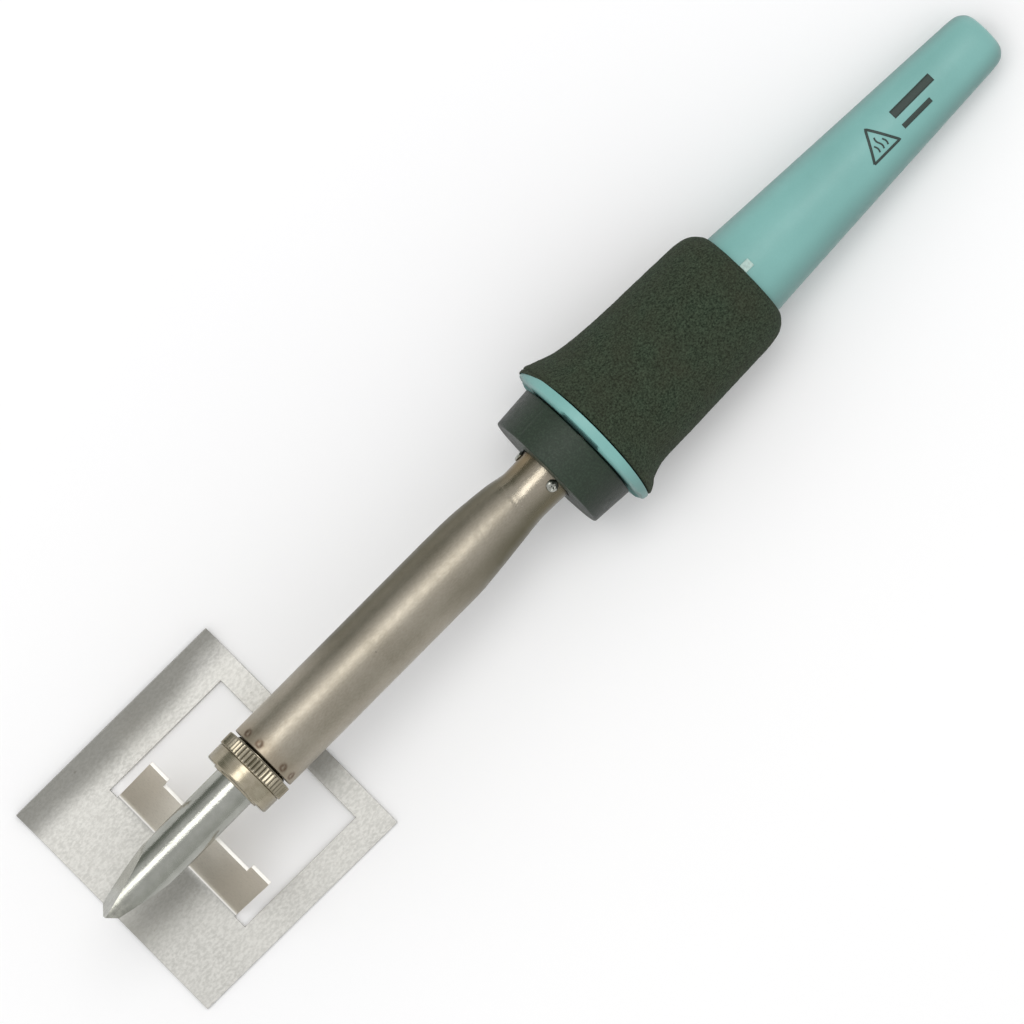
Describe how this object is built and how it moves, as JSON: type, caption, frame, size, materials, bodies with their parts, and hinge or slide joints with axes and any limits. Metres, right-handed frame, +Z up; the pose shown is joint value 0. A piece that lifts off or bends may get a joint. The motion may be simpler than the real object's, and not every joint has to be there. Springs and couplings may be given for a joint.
{
  "type": "soldering iron on a bench stand",
  "caption": "Mains soldering iron with a flat-ground tip, knurled nut, necked barrel, foam grip and tapered handle, lying on a bent sheet-metal bench stand.",
  "frame": {"origin": "centre of the bounding box at bench level", "axes": "+X from the tip towards the rear of the handle, level with the bench; +Z up; +Y to the left of somebody looking along +X"},
  "size_m": [0.2492, 0.0552, 0.0375],
  "materials": {
    "zinc_sheet": "dull galvanised sheet with a fine spangle",
    "tip_plate": "bright iron and chromium plating",
    "nickel": "warm nickel plating",
    "steel": "satin drawn steel, slightly heat tinted",
    "dark_plastic": "moulded, semi-matt",
    "teal_plastic": "moulded, pale blue-green, soft gloss",
    "foam": "closed-cell foam, fine matt grain",
    "ceramic": "unglazed",
    "wire": "resistance wire",
    "mica": "mica wrap",
    "brass": "bright",
    "black_plastic": "moulded",
    "white_sleeve": "woven glass sleeving",
    "green_sleeve": "woven glass sleeving",
    "magnet_alloy": "ground"
  },
  "bodies": {
    "stand": {"bench_stand": "zinc_sheet"},
    "iron": {"barrel_bush": "nickel", "barrel": "steel", "neck_screw_1": "nickel", "neck_screw_2": "nickel", "neck_screw_3": "nickel", "heater_former": "ceramic", "heater_winding": "wire", "heater_wrap": "mica", "former_ring": "ceramic", "guide_tube": "steel", "guide_plug": "ceramic", "return_spring": "steel", "spring_seat": "ceramic", "switch_frame": "black_plastic", "fixed_contact_left": "brass", "fixed_contact_right": "brass", "heater_lead_left": "white_sleeve", "heater_lead_right": "white_sleeve", "switch_lead": "white_sleeve", "earth_lead": "green_sleeve", "terminal_block": "black_plastic", "terminal_screw_1": "brass", "terminal_screw_2": "brass", "terminal_screw_3": "brass", "cord_clamp": "black_plastic", "clamp_base": "black_plastic", "clamp_screw_1": "steel", "clamp_screw_2": "steel", "front_collar": "dark_plastic", "collar_screw_1": "steel", "collar_screw_2": "steel", "collar_screw_3": "steel", "handle_shell": "teal_plastic", "grip_sleeve": "foam", "inlet_bush": "black_plastic"},
    "tip_set": {"tip": "tip_plate", "tip_sensor": "magnet_alloy"},
    "nut": {"tip_nut": "nickel"},
    "thermostat": {"magnet": "magnet_alloy", "push_rod": "steel", "spring_cup": "brass", "moving_contact": "brass"}
  },
  "joints": [
    {"name": "iron_lift", "type": "slide", "parent": "stand", "child": "iron", "axis": [0, 0, 1], "range_m": [0, 0.1]},
    {"name": "tip_slide", "type": "slide", "parent": "iron", "child": "tip_set", "axis": [-0.9942, 0, 0.108], "range_m": [0, 0.004]},
    {"name": "nut_spin", "type": "hinge", "parent": "tip_set", "child": "nut", "pos_m": [-0.08299, 0.0007, 0.02857], "axis": [-0.9942, 0, 0.108], "range_deg": [0, 1440.1]},
    {"name": "thermostat_slide", "type": "slide", "parent": "iron", "child": "thermostat", "axis": [0.9942, 0, -0.108], "range_m": [0, 0.002], "stiffness_N_per_m": 50, "deforming": ["return_spring"]}
  ],
  "couplings": [
    {"joint": "nut_spin", "follows": "tip_slide", "rad_per_m": 6283.2}
  ]
}
